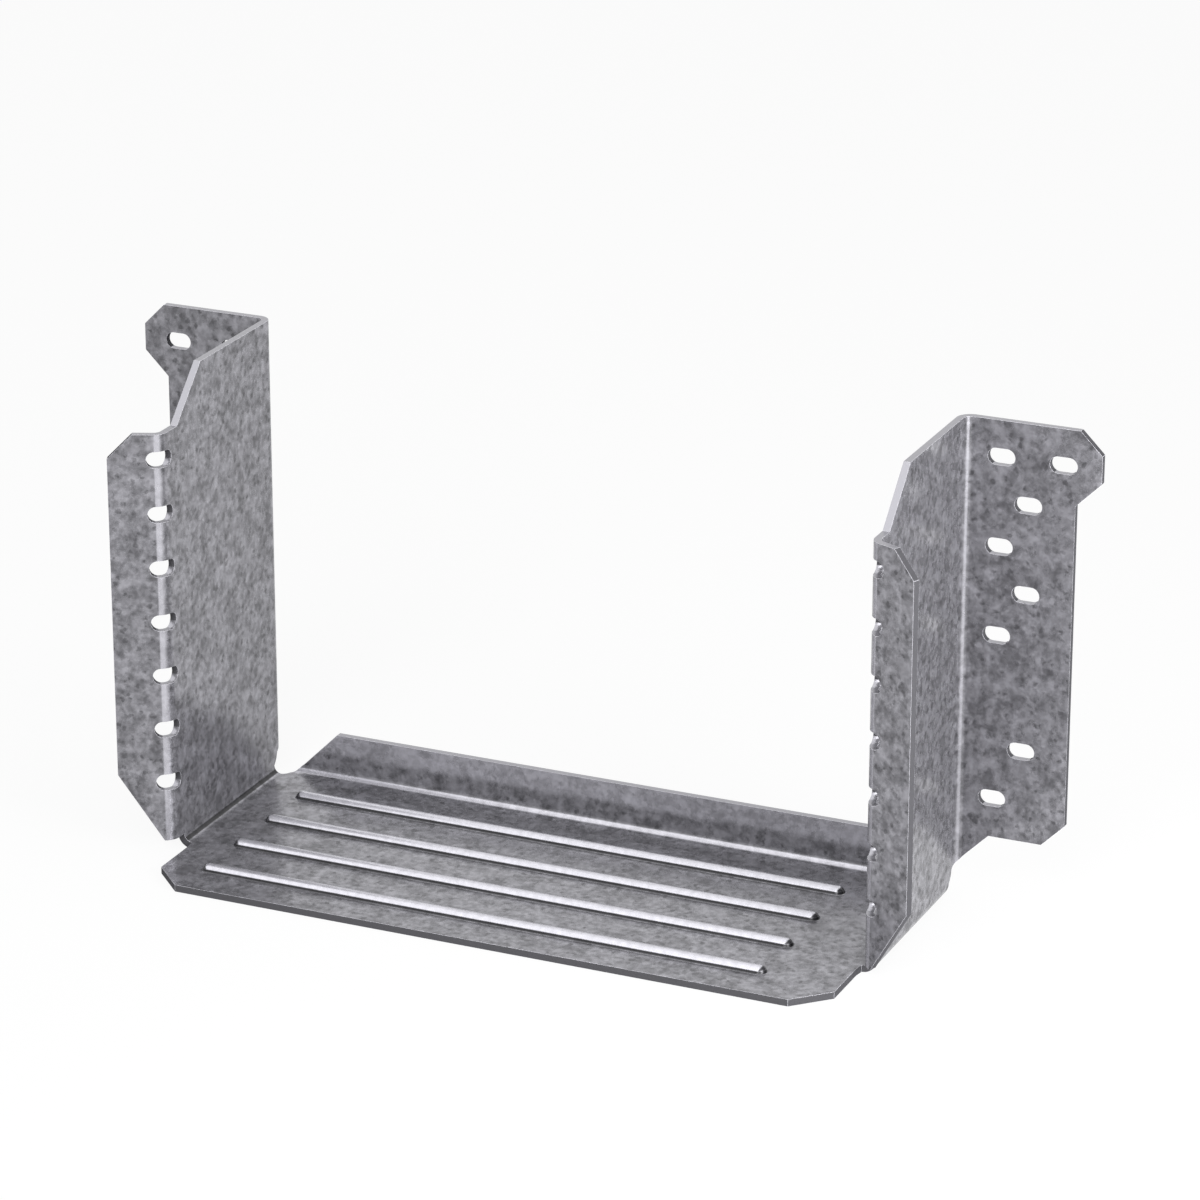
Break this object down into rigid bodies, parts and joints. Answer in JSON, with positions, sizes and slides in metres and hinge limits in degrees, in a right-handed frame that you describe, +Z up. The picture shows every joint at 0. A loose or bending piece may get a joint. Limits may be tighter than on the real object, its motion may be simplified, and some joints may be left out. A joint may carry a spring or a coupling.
{
  "type": "truss hanger",
  "caption": "Folded galvanised sheet truss hanger: a beaded seat between side plates, with rear nailing flanges and flared front flanges.",
  "frame": {"origin": "under the middle of the seat, halfway between the rear faces and the seat's front edge, on the surface the hanger stands on", "axes": "+Z up along the side plates, +Y to the rear against the girder, +X to the right seen from the front"},
  "size_m": [0.2828, 0.0876, 0.1365],
  "materials": {
    "galvanised_sheet": "hot-dip galvanised, mottled spangle, semi-gloss"
  },
  "bodies": {
    "root": {"truss_hanger": "galvanised_sheet"}
  },
  "joints": []
}
